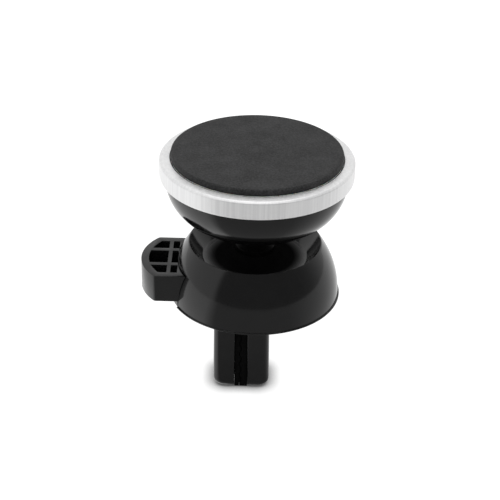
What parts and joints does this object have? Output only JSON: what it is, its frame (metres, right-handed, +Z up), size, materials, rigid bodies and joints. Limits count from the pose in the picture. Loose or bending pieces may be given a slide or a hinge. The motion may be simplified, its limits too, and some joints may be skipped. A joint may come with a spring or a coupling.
{
  "type": "magnetic car air vent phone mount",
  "caption": "Magnetic phone mount: a round rubber-faced head in a metal ring turns on a ball stud above a bell-shaped base with a spring clip for a car air vent and a side release tab.",
  "frame": {"origin": "on the head's axis, at the level of the clip's tips, where the mount stands", "axes": "+Z up from the clip's tips to the phone pad's face; -X towards the release tab; Y across the clip's jaws"},
  "size_m": [0.044, 0.04, 0.0553],
  "materials": {
    "gloss_black": "polished black moulded plastic",
    "satin_black": "satin black moulded plastic",
    "pad_rubber": "matte black rubber with a fine grain",
    "grip_rubber": "matte black rubber",
    "ring_aluminium": "turned and anodised aluminium",
    "fastener_steel": "zinc-plated steel",
    "stud_steel": "black-coated steel",
    "liner_nylon": "natural nylon",
    "magnet_nickel": "nickel-plated magnet",
    "adhesive": "double-sided foam tape"
  },
  "bodies": {
    "base": {"dome_housing": "gloss_black", "ball_stud": "stud_steel", "stud_washer": "fastener_steel", "stud_screw": "fastener_steel", "base_plate": "gloss_black", "base_screw_1": "fastener_steel", "base_screw_2": "fastener_steel", "base_screw_3": "fastener_steel", "jaw_pivot_pin": "fastener_steel", "torsion_spring": "fastener_steel", "fixed_jaw_pad": "grip_rubber"},
    "lever": {"release_lever": "gloss_black", "moving_jaw_pad": "grip_rubber"},
    "lower_liner": {"lower_ball_liner": "liner_nylon"},
    "upper_liner": {"upper_ball_liner": "liner_nylon"},
    "head": {"head_shell": "gloss_black", "socket_cap": "satin_black", "socket_screw_1": "fastener_steel", "socket_screw_2": "fastener_steel", "socket_screw_3": "fastener_steel", "yoke_plate": "fastener_steel", "magnet_carrier": "satin_black", "magnet_1": "magnet_nickel", "magnet_2": "magnet_nickel", "magnet_3": "magnet_nickel", "magnet_4": "magnet_nickel", "face_plate": "satin_black", "pad_adhesive": "adhesive", "face_pad": "pad_rubber", "trim_ring": "ring_aluminium"}
  },
  "joints": [
    {"name": "release_lever_press", "type": "hinge", "parent": "base", "child": "lever", "pos_m": [0.0012, 0, 0.02645], "axis": [0, -1, 0], "range_deg": [0, 9], "stiffness_Nm_per_rad": 0.12, "springref_deg": -40.11},
    {"name": "head_tilt_x", "type": "hinge", "parent": "base", "child": "lower_liner", "pos_m": [0, 0, 0.0428], "axis": [1, 0, 0], "range_deg": [-22, 22]},
    {"name": "head_tilt_y", "type": "hinge", "parent": "lower_liner", "child": "upper_liner", "pos_m": [0, 0, 0.0428], "axis": [0, 1, 0], "range_deg": [-22, 22]},
    {"name": "head_spin", "type": "hinge", "parent": "upper_liner", "child": "head", "pos_m": [0, 0, 0.0428], "axis": [0, 0, 1], "continuous": true}
  ]
}
